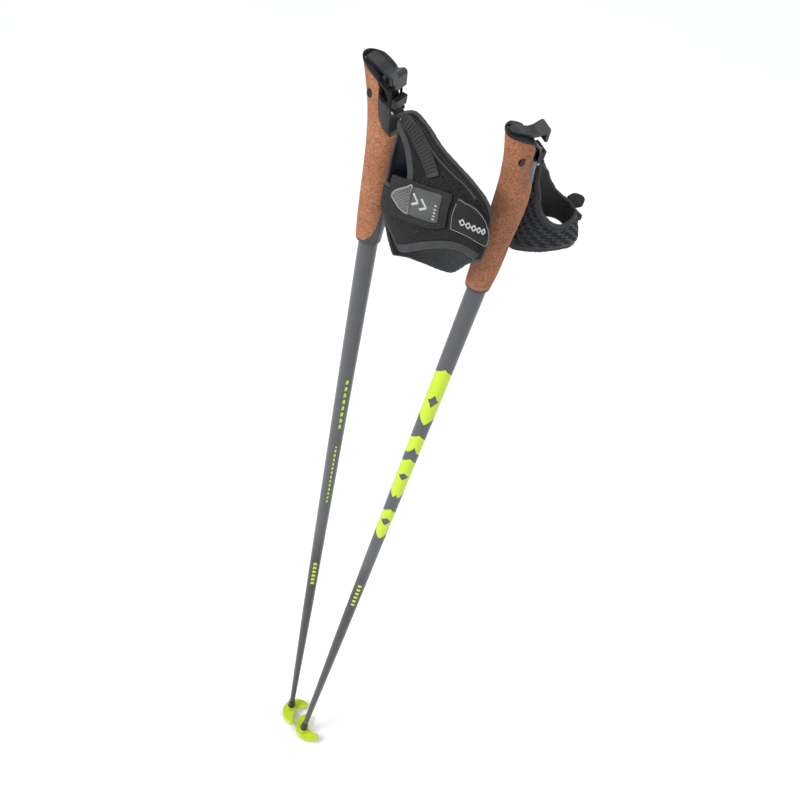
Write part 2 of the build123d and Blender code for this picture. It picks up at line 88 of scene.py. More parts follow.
# ================= materials =================
class Finish:
    """One procedural material: a Principled shader and the nodes that feed it."""

    def __init__(self, name, **sockets):
        self.mat = bpy.data.materials.new(name)
        self.mat.use_nodes = True
        self.tree = self.mat.node_tree
        self.shader = self.tree.nodes["Principled BSDF"]
        for key, value in sockets.items():
            self.put(self.shader.inputs[key.replace("_", " ")], value)

    def put(self, socket, value):
        if isinstance(value, bpy.types.NodeSocket):
            self.tree.links.new(value, socket)
        elif socket.type == "RGBA":
            socket.default_value = (*value[:3], 1.0)
        else:
            socket.default_value = value

    def node(self, kind, inputs=None, **props):
        made = self.tree.nodes.new(kind)
        for key, value in props.items():
            setattr(made, key, value)
        for key, value in (inputs or {}).items():
            self.put(made.inputs[key], value)
        return made

    def place(self, stretch=(1, 1, 1), pole=None):
        """Coordinates in metres, in the row frame or in one pole's own frame."""
        vector = self.node("ShaderNodeTexCoord").outputs["Object"]
        if pole is not None:
            turned = self.node("ShaderNodeMapping", {"Vector": vector}, vector_type="TEXTURE")
            turned.inputs["Location"].default_value = pole.to_translation()
            turned.inputs["Rotation"].default_value = pole.to_euler()
            vector = turned.outputs[0]
        if stretch != (1, 1, 1):
            vector = self.node("ShaderNodeMapping", {"Vector": vector, "Scale": stretch}).outputs[0]
        return vector

    def noise(self, scale, vector=None, detail=3.0, rough=0.55):
        inputs = {"Scale": scale, "Detail": detail, "Roughness": rough, "Vector": vector or self.place()}
        return self.node("ShaderNodeTexNoise", inputs).outputs[0]

    def cells(self, scale, vector=None, feature="F1", output="Distance"):
        inputs = {"Scale": scale, "Vector": vector or self.place()}
        return self.node("ShaderNodeTexVoronoi", inputs, feature=feature).outputs[output]

    def wave(self, scale, vector=None, direction="X", distort=0.0):
        inputs = {"Scale": scale, "Distortion": distort, "Vector": vector or self.place()}
        return self.node("ShaderNodeTexWave", inputs, bands_direction=direction).outputs["Fac"]

    def sum(self, operation, first, second=0.0, third=0.0):
        made = self.node("ShaderNodeMath", operation=operation)
        for socket, value in zip(made.inputs, (first, second, third)):
            self.put(socket, value)
        return made.outputs[0]

    def ramp(self, factor, *stops):
        made = self.node("ShaderNodeValToRGB", {"Fac": factor})
        band = made.color_ramp
        while len(band.elements) < len(stops):
            band.elements.new(0.5)
        for element, (position, colour) in zip(band.elements, stops):
            element.position = position
            element.color = (*colour, 1.0) if isinstance(colour, tuple) else (colour, colour, colour, 1.0)
        return made.outputs[0]

    def mix(self, factor, first, second, blend="MIX"):
        made = self.node("ShaderNodeMix", data_type="RGBA", blend_type=blend)
        self.put(made.inputs["Factor"], factor)
        self.put(made.inputs[6], first)
        self.put(made.inputs[7], second)
        return made.outputs[2]

    def bump(self, height, depth, strength=1.0, under=None):
        inputs = {"Height": height, "Distance": depth, "Strength": strength}
        if under is not None:
            inputs["Normal"] = under
        return self.node("ShaderNodeBump", inputs).outputs[0]

    def set(self, socket, value):
        self.put(self.shader.inputs[socket], value)


def cork_finish():
    made = Finish("cork", Specular_IOR_Level=0.25)
    drift = made.node("ShaderNodeVectorMath", operation="ADD")
    wobble = made.node("ShaderNodeTexNoise", {"Scale": 620.0, "Vector": made.place()})
    shift = made.node("ShaderNodeVectorMath", {0: wobble.outputs["Color"]}, operation="SCALE")
    shift.inputs["Scale"].default_value = 0.0008
    made.put(drift.inputs[0], made.place())
    made.put(drift.inputs[1], shift.outputs[0])
    grain = made.cells(760.0, drift.outputs[0], output="Color")
    fine = made.cells(1700.0, drift.outputs[0], output="Color")
    shade = made.mix(0.42, grain, fine)
    grey = made.node("ShaderNodeRGBToBW", {"Color": shade}).outputs[0]
    tone = made.ramp(
        grey,
        (0.14, (0.235, 0.086, 0.042)),
        (0.34, (0.430, 0.170, 0.086)),
        (0.60, (0.520, 0.215, 0.108)),
        (0.86, (0.640, 0.295, 0.160)),
    )
    patches = made.ramp(made.noise(46.0, detail=2.0), (0.3, 0.80), (0.7, 1.0))
    tone = made.mix(1.0, tone, patches, "MULTIPLY")
    pores = made.ramp(made.noise(900.0, detail=2.0), (0.27, 0.0), (0.36, 1.0))
    tone = made.mix(pores, (0.110, 0.040, 0.022), tone)
    made.set("Base Color", tone)
    made.set("Roughness", made.ramp(grey, (0.2, 0.88), (0.8, 0.62)))
    edges = made.cells(760.0, drift.outputs[0], feature="DISTANCE_TO_EDGE")
    seams = made.ramp(edges, (0.0, 0.0), (0.16, 1.0))
    rough = made.bump(made.noise(1500.0), 0.00025)
    made.set("Normal", made.bump(made.sum("MULTIPLY", seams, pores), 0.00035, 0.8, rough))
    return made.mat


def plastic_finish(name, dark, light, rough, grain=1400.0, depth=0.00006, **sockets):
    """Moulded plastic: a fine sparked texture, faint cloudiness and rubbed spots."""
    made = Finish(name, **sockets)
    cloud = made.noise(60.0, detail=4.0)
    made.set("Base Color", made.mix(made.ramp(cloud, (0.35, 0.0), (0.65, 1.0)), dark, light))
    rub = made.noise(180.0, made.place((1, 1, 0.25)), detail=5.0)
    made.set("Roughness", made.ramp(rub, (0.3, rough + 0.08), (0.7, rough - 0.06)))
    spark = made.bump(made.noise(grain, detail=4.0), depth)
    made.set("Normal", made.bump(made.cells(grain * 0.8), depth * 0.6, 0.6, spark))
    return made.mat


def steel_finish(name, colour, rough, stretch):
    made = Finish(name, Metallic=1.0)
    lines = made.noise(900.0, made.place(stretch), detail=4.0)
    made.set("Base Color", made.mix(lines, tuple(c * 0.7 for c in colour), colour))
    made.set("Roughness", made.ramp(lines, (0.3, rough - 0.08), (0.7, rough + 0.12)))
    made.set("Normal", made.bump(lines, 0.00004))
    return made.mat


def cloth_finish(name, dark, light, rough, knit=1150.0, depth=0.00018, gloss=0.22, **sockets):
    """Knitted or woven cloth: crossed threads with uneven dye and a soft sheen."""
    made = Finish(name, Roughness=rough, Specular_IOR_Level=gloss, **sockets)
    leaned = {"Vector": made.place(), "Rotation": (0.5, 0.3, 0.8)}
    lean = made.node("ShaderNodeMapping", leaned).outputs[0]
    across = made.wave(knit * 0.35, lean, "X", 1.5)
    along = made.wave(knit * 0.35, lean, "Z", 1.5)
    weave = made.sum("MULTIPLY", across, along)
    dye = made.noise(110.0, detail=4.0)
    shade = made.sum("MULTIPLY_ADD", weave, 0.55, made.sum("MULTIPLY", dye, 0.5))
    made.set("Base Color", made.mix(shade, dark, light))
    fibre = made.bump(made.noise(knit * 2.0, detail=2.0), depth * 0.6)
    made.set("Normal", made.bump(weave, depth, 0.8, fibre))
    return made.mat


def pile_finish():
    """Brushed loop pile: tufts with grey fibre ends, and painted shade in the gaps between them."""
    made = Finish(
        "loop_pile", Roughness=0.95, Sheen_Weight=0.08, Sheen_Roughness=0.6, Specular_IOR_Level=0.15
    )
    tufts = made.cells(640.0)
    fibre = made.noise(2200.0, detail=3.0, rough=0.7)
    lift = made.sum("MULTIPLY", made.sum("SUBTRACT", 1.0, tufts), fibre)
    # The darkest stops are painted shade in the low gaps between tufts; the lighter stops are the grey fibre ends.
    tone = made.ramp(
        lift,
        (0.18, (0.004, 0.004, 0.005)),
        (0.42, (0.020, 0.020, 0.022)),
        (0.66, (0.085, 0.085, 0.088)),
    )
    made.set("Base Color", tone)
    made.set("Normal", made.bump(lift, 0.0011, 1.0, made.bump(fibre, 0.0003)))
    return made.mat


def palm_finish():
    """Coated palm cloth: the scales are in the mesh; the shine follows their raised edges."""
    made = Finish("palm_scales", Specular_IOR_Level=0.24)
    coat = made.noise(300.0, detail=4.0)
    made.set("Base Color", made.mix(coat, (0.0012, 0.002, 0.004), (0.006, 0.008, 0.013)))
    made.set("Roughness", made.ramp(made.noise(240.0), (0.3, 0.38), (0.7, 0.24)))
    fine = made.wave(900.0, made.place(), "DIAGONAL", 2.0)
    made.set("Normal", made.bump(made.noise(1600.0), 0.00010, 0.7, made.bump(fine, 0.00004)))
    return made.mat


def lime_finish():
    made = Finish(
        "lime_plastic", Coat_Weight=0.5, Coat_Roughness=0.06, Subsurface_Weight=0.12, Subsurface_Scale=0.004
    )
    made.shader.inputs["Subsurface Radius"].default_value = (0.6, 1.0, 0.15)
    flow = made.noise(70.0, made.place((1, 1, 2.5)), detail=4.0)
    flow = made.ramp(flow, (0.3, 0.0), (0.7, 1.0))
    made.set("Base Color", made.mix(flow, (0.38, 0.50, 0.006), (0.54, 0.66, 0.014)))
    scuff = made.noise(500.0, made.place((1, 3, 1)), detail=5.0)
    made.set("Roughness", made.ramp(scuff, (0.35, 0.16), (0.72, 0.42)))
    made.set("Normal", made.bump(made.noise(900.0, detail=2.0), 0.00005))
    return made.mat


# Printed marks on the shafts, by height in metres and by angle about the shaft. They are plain shapes.
LIME = (0.60, 0.80, 0.008)
FADE_HIGH_Z = 0.505
FADE_LOW_Z = 0.435
# Left shaft: (low, high, direction of the pointed edges); the windows repeat up the shaft.
LEFT_BANDS = (
    (0.819, 0.862, 1), (0.775, 0.806, -1), (0.731, 0.757, 1), (0.690, 0.716, 1),
    (0.640, 0.677, -1), (0.603, 0.621, 1), (0.560, 0.588, -1),
)
LEFT_CENTRE = -128
POINT_RISE = 0.0085
WINDOW_LOW, WINDOW_PITCH, WINDOW_TALL, WINDOW_WIDE = 0.552, 0.0435, 0.010, 0.55
BARS_LOW, BARS_HIGH = 0.403, 0.456
# Right shaft: (low, high, centre angle, half width, half pitch, half thickness) of each line of ticks.
RIGHT_TICKS = (
    (0.701, 0.786, -0.72, 0.17, 0.0052, 0.0030),
    (0.566, 0.672, -0.74, 0.13, 0.0040, 0.0023),
    (0.383, 0.436, -0.92, 0.36, 0.0045, 0.0026),
)


def carbon_finish(hand):
    """Lacquered carbon: lengthwise fibres, a streaky fade to black low down, and printed marks."""
    made = Finish(f"carbon_{hand}", Coat_Weight=0.12, Coat_Roughness=0.22, Specular_IOR_Level=0.38)
    spot = made.place(pole=POLES[hand])
    split = made.node("ShaderNodeSeparateXYZ", {"Vector": spot}).outputs
    height = split["Z"]
    angle = made.sum("ARCTAN2", split["Y"], split["X"])
    unrolled = {"X": angle, "Y": made.sum("MULTIPLY", height, 9.0)}
    wrap = made.node("ShaderNodeCombineXYZ", unrolled).outputs[0]
    streaks = made.noise(26.0, wrap, detail=6.0, rough=0.7)
    edge = made.sum("MULTIPLY_ADD", made.noise(7.0, wrap, detail=3.0), 0.10, height)
    fade = made.node(
        "ShaderNodeMapRange",
        {"Value": edge, "From Min": FADE_LOW_Z + 0.05, "From Max": FADE_HIGH_Z + 0.05},
    ).outputs[0]
    body = made.mix(streaks, (0.060, 0.062, 0.068), (0.100, 0.102, 0.110))
    black = made.mix(streaks, (0.006, 0.006, 0.0065), (0.022, 0.022, 0.023))
    tone = made.mix(fade, black, body)
    marks = left_marks(made, height, angle) if hand == "lh" else right_marks(made, height, angle)
    made.set("Base Color", made.mix(marks, tone, LIME))
    made.set("Roughness", made.ramp(streaks, (0.3, 0.46), (0.7, 0.32)))
    fibres = made.noise(60.0, wrap, detail=5.0)
    made.set("Normal", made.bump(marks, 0.00003, 0.5, made.bump(fibres, 0.00003)))
    return made.mat


def within(made, value, low, high):
    """One between two values, and nought elsewhere."""
    over = made.sum("GREATER_THAN", value, low)
    return made.sum("MULTIPLY", over, made.sum("LESS_THAN", value, high))


def about(made, angle, centre):
    """The angle's distance from a centre angle, in radians, without a seam."""
    turned = made.sum("SUBTRACT", angle, centre)
    return made.sum("ABSOLUTE", made.sum("WRAP", turned, math.pi, -math.pi))


def left_marks(made, height, angle):
    """Bright bands with pointed edges, small diamond windows, and a row of short bars."""
    off = about(made, angle, math.radians(LEFT_CENTRE))
    peak = made.sum("MULTIPLY", off, POINT_RISE)
    edges = {1: made.sum("ADD", height, peak), -1: made.sum("SUBTRACT", height, peak)}
    total = 0.0
    for low, high, way in LEFT_BANDS:
        total = made.sum("MAXIMUM", total, within(made, edges[way], low, high))
    row = made.sum("PINGPONG", made.sum("SUBTRACT", height, WINDOW_LOW), WINDOW_PITCH)
    tall = made.sum("DIVIDE", row, WINDOW_TALL)
    wide = made.sum("DIVIDE", off, WINDOW_WIDE)
    window = made.sum("LESS_THAN", made.sum("ADD", tall, wide), 1.0)
    total = made.sum("MULTIPLY", total, made.sum("SUBTRACT", 1.0, window))
    front = made.sum("LESS_THAN", off, 1.5)
    bars = made.sum("LESS_THAN", made.sum("PINGPONG", height, 0.0045), 0.0024)
    bars = made.sum("MULTIPLY", bars, within(made, height, BARS_LOW, BARS_HIGH))
    bars = made.sum("MULTIPLY", bars, made.sum("LESS_THAN", off, 0.34))
    return made.sum("MAXIMUM", made.sum("MULTIPLY", total, front), bars)


def right_marks(made, height, angle):
    """Two thin lines of slanted ticks, and a short row of bars lower down."""
    total = 0.0
    for low, high, centre, half, pitch, share in RIGHT_TICKS:
        off = about(made, angle, centre)
        slanted = made.sum("MULTIPLY_ADD", off, 0.006, height)
        ticks = made.sum("LESS_THAN", made.sum("PINGPONG", slanted, pitch), share)
        ticks = made.sum("MULTIPLY", ticks, within(made, height, low, high))
        ticks = made.sum("MULTIPLY", ticks, made.sum("LESS_THAN", off, half))
        total = made.sum("MAXIMUM", total, ticks)
    return total


FINISHES = {
    "cork": cork_finish(),
    "black_plastic": plastic_finish(
        "black_plastic", (0.004, 0.0043, 0.0047), (0.011, 0.0117, 0.0125), 0.36, Specular_IOR_Level=0.34
    ),
    "grey_plastic": plastic_finish(
        "grey_plastic", (0.024, 0.026, 0.028), (0.044, 0.046, 0.049), 0.30, Specular_IOR_Level=0.45
    ),
    "lime_plastic": lime_finish(),
    "carbide": steel_finish("carbide", (0.40, 0.40, 0.42), 0.35, (1, 1, 0.1)),
    "steel": steel_finish("steel", (0.62, 0.62, 0.64), 0.25, (0.1, 1, 1)),
    "dark_steel": steel_finish("dark_steel", (0.05, 0.045, 0.05), 0.38, (1, 0.2, 1)),
    "webbing": cloth_finish("webbing", (0.008, 0.008, 0.009), (0.085, 0.086, 0.088), 0.6, 900.0),
    "glove_fabric": cloth_finish(
        "glove_fabric", (0.003, 0.0032, 0.0034), (0.017, 0.0174, 0.018), 0.78, Sheen_Weight=0.05
    ),
    "palm_fabric": palm_finish(),
    "tab_fabric": cloth_finish(
        "tab_fabric", (0.010, 0.010, 0.011), (0.050, 0.051, 0.052), 0.85, 700.0, 0.0003
    ),
    "badge_fabric": cloth_finish(
        "badge_fabric", (0.008, 0.008, 0.009), (0.022, 0.022, 0.024), 0.5, 1500.0, 0.0001
    ),
    "patch_rubber": plastic_finish("patch_rubber", (0.055, 0.056, 0.056), (0.082, 0.083, 0.083), 0.62),
    "mesh_fabric": cloth_finish("mesh_fabric", (0.20, 0.205, 0.205), (0.42, 0.425, 0.425), 0.45, 2000.0),
    "loop_pile": pile_finish(),
    "binding": cloth_finish(
        "binding", (0.016, 0.0165, 0.017), (0.095, 0.096, 0.098), 0.72, 1300.0, Sheen_Weight=0.08
    ),
    "white_thread": cloth_finish("white_thread", (0.42, 0.42, 0.42), (0.80, 0.80, 0.79), 0.6, 2500.0),
    "grey_thread": cloth_finish("grey_thread", (0.05, 0.05, 0.052), (0.13, 0.13, 0.135), 0.6, 2500.0),
}
for hand in HANDS:
    FINISHES[f"carbon_{hand}"] = carbon_finish(hand)

for row in record["subparts"]:
    node, slot = row["node"], row["material_slot"]
    if slot == "carbon":
        slot = f"carbon_{node[:2]}"
    skin = frame["nodes"][node].data.materials
    skin.clear()
    skin.append(FINISHES[slot])


# ================= mesh helpers =================
def smooth_line(points, step, closed=False):
    """Evenly spaced points along a smooth curve through the given ones."""
    given = np.array(points, float)
    count = len(given)
    spans = count if closed else count - 1

    def at(i):
        return given[i % count] if closed else given[min(max(i, 0), count - 1)]

    fine = []
    for i in range(spans):
        a, b, c, d = at(i - 1), at(i), at(i + 1), at(i + 2)
        for t in np.linspace(0, 1, 12, endpoint=False):
            square = (2 * a - 5 * b + 4 * c - d) * t**2
            cube = (3 * b - a - 3 * c + d) * t**3
            fine.append(0.5 * (2 * b + (c - a) * t + square + cube))
    fine.append(at(spans))
    fine = np.array(fine)
    run = np.concatenate([[0], np.cumsum(np.linalg.norm(np.diff(fine, axis=0), axis=1))])
    even = np.linspace(0, run[-1], max(int(run[-1] / step), 4) + 1)
    line = np.stack([np.interp(even, run, fine[:, k]) for k in range(fine.shape[1])], axis=1)
    return line[:-1] if closed else line


def make_object(name, verts, faces, slot, finish=None, smooth=True):
    """A mesh object with clean normals and a finish; the slot names the finish when no other is given."""
    mesh = bpy.data.meshes.new(name)
    mesh.from_pydata([tuple(v) for v in verts], [], [tuple(f) for f in faces])
    tidy = bmesh.new()
    tidy.from_mesh(mesh)
    bmesh.ops.remove_doubles(tidy, verts=tidy.verts, dist=1e-6)
    bmesh.ops.recalc_face_normals(tidy, faces=tidy.faces)
    tidy.to_mesh(mesh)
    tidy.free()
    made = bpy.data.objects.new(name, mesh)
    bpy.context.scene.collection.objects.link(made)
    mesh.materials.append(FINISHES[finish or slot])
    if smooth:
        mesh.shade_smooth()
    return made


def sweep(path, normals, section, closed=False):
    """Vertices and faces of a band along a path. section(i) gives its outline as (across, up) pairs."""
    path = np.array(path, float)
    count = len(path)
    verts, faces = [], []
    for i in range(count):
        ahead = path[(i + 1) % count] if closed or i < count - 1 else path[i]
        behind = path[i - 1] if closed or i > 0 else path[i]
        along = Vector(ahead - behind).normalized()
        up = Vector(normals[i])
        up = (up - along * up.dot(along)).normalized()
        across = along.cross(up)
        for a, b in section(i):
            verts.append(Vector(path[i]) + across * a + up * b)
    ring = len(verts) // count
    for i in range(count if closed else count - 1):
        low, high = i * ring, ((i + 1) % count) * ring
        for k in range(ring):
            n = (k + 1) % ring
            faces.append((low + k, low + n, high + n, high + k))
    if not closed:
        faces.append(tuple(range(ring)))
        faces.append(tuple(range((count - 1) * ring, count * ring)))
    return verts, faces


def oval(half_wide, half_high, sides=10, power=1.0):
    """An oval outline; a power below one makes it squarer."""
    out = []
    for k in range(sides):
        turn = 2 * math.pi * k / sides
        c, s = math.cos(turn), math.sin(turn)
        across = math.copysign(abs(c) ** power, c) * half_wide
        up = math.copysign(abs(s) ** power, s) * half_high
        out.append((across, up))
    return out


def sweep_spots(spots, section, closed=False):
    """A band along (point, normal) pairs."""
    return sweep([s[0] for s in spots], [s[1] for s in spots], section, closed)


def join_parts(parts):
    """Several (vertices, faces) pairs as one."""
    verts, faces = [], []
    for part_verts, part_faces in parts:
        start = len(verts)
        verts += list(part_verts)
        faces += [tuple(start + k for k in f) for f in part_faces]
    return verts, faces


def stitch_parts(path, normals, pitch, length, radius, lift):
    """Small thread stitches laid end to end along a path."""
    path = np.array(path, float)
    run = np.concatenate([[0], np.cumsum(np.linalg.norm(np.diff(path, axis=0), axis=1))])
    normals = np.array([tuple(n) for n in normals], float)
    parts = []
    spot = pitch / 2
    while spot < run[-1] - pitch / 2:
        line = []
        ups = []
        for share, dip in ((-0.5, -0.6), (-0.3, 0.5), (0.0, 1.0), (0.3, 0.5), (0.5, -0.6)):
            here = spot + share * length
            point = np.array([np.interp(here, run, path[:, k]) for k in range(3)])
            up = np.array([np.interp(here, run, normals[:, k]) for k in range(3)])
            up = up / np.linalg.norm(up)
            line.append(point + up * (lift + dip * radius))
            ups.append(Vector(up))
        widths = (0.45, 0.9, 1.0, 0.9, 0.45)
        parts.append(sweep(line, ups, lambda i: oval(radius * widths[i], radius * widths[i], 6)))
        spot += pitch
    return parts


# ================= glove cuffs =================
# Metres of laid-out cloth for each radian round a cuff oval.
FLAT_SCALE = 0.0352
# Cuff ovals by height in millimetres: (height, front x, rear x, squeeze towards the pole's middle plane).
CUFFS = {
    "rh": {
        "side": -1, "mid": 16.0, "thick": 13.5,
        "sections": ((970, 39.5, 117, 1), (1035, 16, 117, 1), (1082, 16, 117, 1), (1132, 16, 117, 0.34)),
    },
    "lh": {
        "side": 1, "mid": 8.0, "thick": 12.5,
        "sections": ((970, 16, 95, 1), (1002, 16, 95, 1), (1040, 16, 79, 1), (1112, 16, 79, 0.4)),
    },
}


class Cuff:
    """The upright oval that a glove's cloth follows, in its own pole's frame."""

    def __init__(self, hand):
        shape = CUFFS[hand]
        self.pole = POLES[hand]
        self.side = shape["side"]
        self.mid = shape["mid"] * MM
        self.thick = shape["thick"] * MM
        self.rows = np.array(shape["sections"], float) * (MM, MM, MM, 1)

    def section(self, z):
        """An oval's middle, half length and squeeze at a height."""
        front, rear, squeeze = (np.interp(z, self.rows[:, 0], self.rows[:, k]) for k in (1, 2, 3))
        return (front + rear) / 2, (rear - front) / 2, squeeze

    def flat(self, outline):
        """Outline points in millimetres, (x, z), laid flat as (arc, height) in metres."""
        out = []
        for x, z in outline:
            centre, half, _ = self.section(z * MM)
            turn = math.acos(min(max((centre - x * MM) / half, -1.0), 1.0))
            out.append((turn * FLAT_SCALE, z * MM))
        return out

    def spot(self, turn, z, side):
        """A point of the oval in the pole's own frame; turn is 0 at the front and pi at the rear."""
        centre, half, squeeze = self.section(z)
        y = (self.side * self.mid + side * self.thick * math.sin(turn)) * squeeze
        return Vector((centre - half * math.cos(turn), y, z))

    def point(self, arc, z, out, back=True):
        """A point and its outward normal in the row frame, at a distance outside the oval."""
        turn = arc / FLAT_SCALE
        side = self.side if back else -self.side
        here = self.spot(turn, z, side)
        round_it = self.spot(turn + 0.01, z, side) - self.spot(turn - 0.01, z, side)
        up_it = self.spot(turn, z + 0.004, side) - self.spot(turn, z - 0.004, side)
        normal = round_it.cross(up_it).normalized() * -side
        return self.pole @ (here + normal * out), (self.pole.to_3x3() @ normal).normalized()


def inside(points, ring):
    """Which points lie inside a closed ring, and how far each is from it."""
    x, y = points[:, 0, None], points[:, 1, None]
    a, b = ring, np.roll(ring, -1, axis=0)
    crosses = (a[:, 1] > y) != (b[:, 1] > y)
    with np.errstate(divide="ignore", invalid="ignore"):
        at = (b[:, 0] - a[:, 0]) * (y - a[:, 1]) / (b[:, 1] - a[:, 1]) + a[:, 0]
    hit = (crosses & (x < at)).sum(1) % 2 == 1
    d = b - a
    t = np.clip(((x - a[:, 0]) * d[:, 0] + (y - a[:, 1]) * d[:, 1]) / (d**2).sum(1), 0, 1)
    near = np.hypot(x - a[:, 0] - t * d[:, 0], y - a[:, 1] - t * d[:, 1]).min(1)
    return hit, near


def flat_cloth(ring, step):
    """An even triangle mesh inside a ring: points, distances from the edge, and triangles."""
    low, high = ring.min(0), ring.max(0)
    rows = []
    for j, z in enumerate(np.arange(low[1], high[1], step * 0.866)):
        shift = step / 2 if j % 2 else 0.0
        rows += [(s, z) for s in np.arange(low[0] + shift, high[0], step)]
    grid = np.array(rows)
    hit, near = inside(grid, ring)
    grid = grid[hit & (near > step * 0.55)]
    everything = [Vector(p) for p in np.vstack([ring, grid])]
    made = delaunay_2d_cdt(everything, [], [list(range(len(ring)))], 1, 1e-7)
    points = np.array([tuple(v) for v in made[0]])
    near = inside(points, ring)[1]
    return points, near, [tuple(f) for f in made[2]]


def cloth_panel(name, cuff, outline, back, layer, step, slot, finish=None, relief=None):
    """A closed panel of cloth on the cuff. layer is its underside, its face and the face's soft crown."""
    low, high, crown = layer
    ring = smooth_line(cuff.flat(outline), step, closed=True)
    points, near, triangles = flat_cloth(ring, step)
    count = len(points)
    face, underside = [], []
    for (arc, z), edge in zip(points, near):
        swell = crown * (1 - math.exp(-edge / 0.004))
        ripple = 0.00045 * noise.noise(Vector((arc * 60, z * 45, 3.1 if back else 8.7)))
        extra = relief(arc, z, edge) if relief else 0.0
        face.append(cuff.point(arc, z, high + swell + ripple + extra, back)[0])
        underside.append(cuff.point(arc, z, low + ripple, back)[0])
    uses = {}
    for tri in triangles:
        for k in range(3):
            edge = (tri[k], tri[(k + 1) % 3])
            uses[tuple(sorted(edge))] = None if tuple(sorted(edge)) in uses else edge
    faces = list(triangles) + [tuple(count + k for k in reversed(t)) for t in triangles]
    faces += [(b, a, a + count, b + count) for a, b in filter(None, uses.values())]
    return make_object(name, face + underside, faces, slot, finish)


def cuff_line(cuff, outline, out, back, step=0.0015, closed=True):
    """A line on the cuff with its normals."""
    line = smooth_line(cuff.flat(outline), step, closed)
    spots = [cuff.point(arc, z, out, back) for arc, z in line]
    return [s[0] for s in spots], [s[1] for s in spots]


def binding(name, cuff, outline, back, radius, out, closed=True, slot="glove_fabric", finish="binding"):
    """A soft rolled binding along an edge, slightly puckered by its stitches."""
    path, normals = cuff_line(cuff, outline, out, back, closed=closed)

    def section(i):
        pucker = 1 + 0.07 * math.sin(i * 1.9) + 0.05 * math.sin(i * 0.61 + 1)
        return oval(radius * pucker, radius * 0.82 * pucker, 10)

    return make_object(name, *sweep(path, normals, section, closed), slot, finish)


def flat_binding(name, cuff, outline, half):
    """A wide soft band along an edge, with two rounded ridges and a groove between."""
    path, normals = cuff_line(cuff, outline, -0.1 * MM, True, closed=False)

    def section(i):
        puff = 1 + 0.06 * math.sin(i * 0.9) + 0.05 * math.sin(i * 2.3)
        out = []
        for k in range(22):
            turn = 2 * math.pi * k / 22
            ridge = 1.0 - 0.42 * math.exp(-((math.cos(turn) * 3.2) ** 2)) if math.sin(turn) > 0 else 0.8
            out.append((math.cos(turn) * half, math.sin(turn) * 1.55 * MM * ridge * puff))
        return out

    return make_object(name, *sweep(path, normals, section), "glove_fabric", "binding")


def inset(cuff, outline, distance, step=0.0015):
    """An outline's flat line moved inwards, as (arc, height) points."""
    ring = smooth_line(cuff.flat(outline), step, closed=True)
    along = np.roll(ring, -1, axis=0) - np.roll(ring, 1, axis=0)
    inward = np.stack([-along[:, 1], along[:, 0]], axis=1)
    inward /= np.linalg.norm(inward, axis=1)[:, None]
    area = (ring[:, 0] * np.roll(ring[:, 1], -1) - np.roll(ring[:, 0], -1) * ring[:, 1]).sum()
    return ring + inward * distance * math.copysign(1, area)


def seam(name, cuff, outline, back, distance, out, pitch, length, radius, slot, finish):
    """A row of stitches all round an outline, at a distance inside it."""
    line = inset(cuff, outline, distance)
    spots = [cuff.point(arc, z, out, back) for arc, z in line]
    parts = stitch_parts([s[0] for s in spots], [s[1] for s in spots], pitch, length, radius, 0.0)
    return make_object(name, *join_parts(parts), slot, finish)


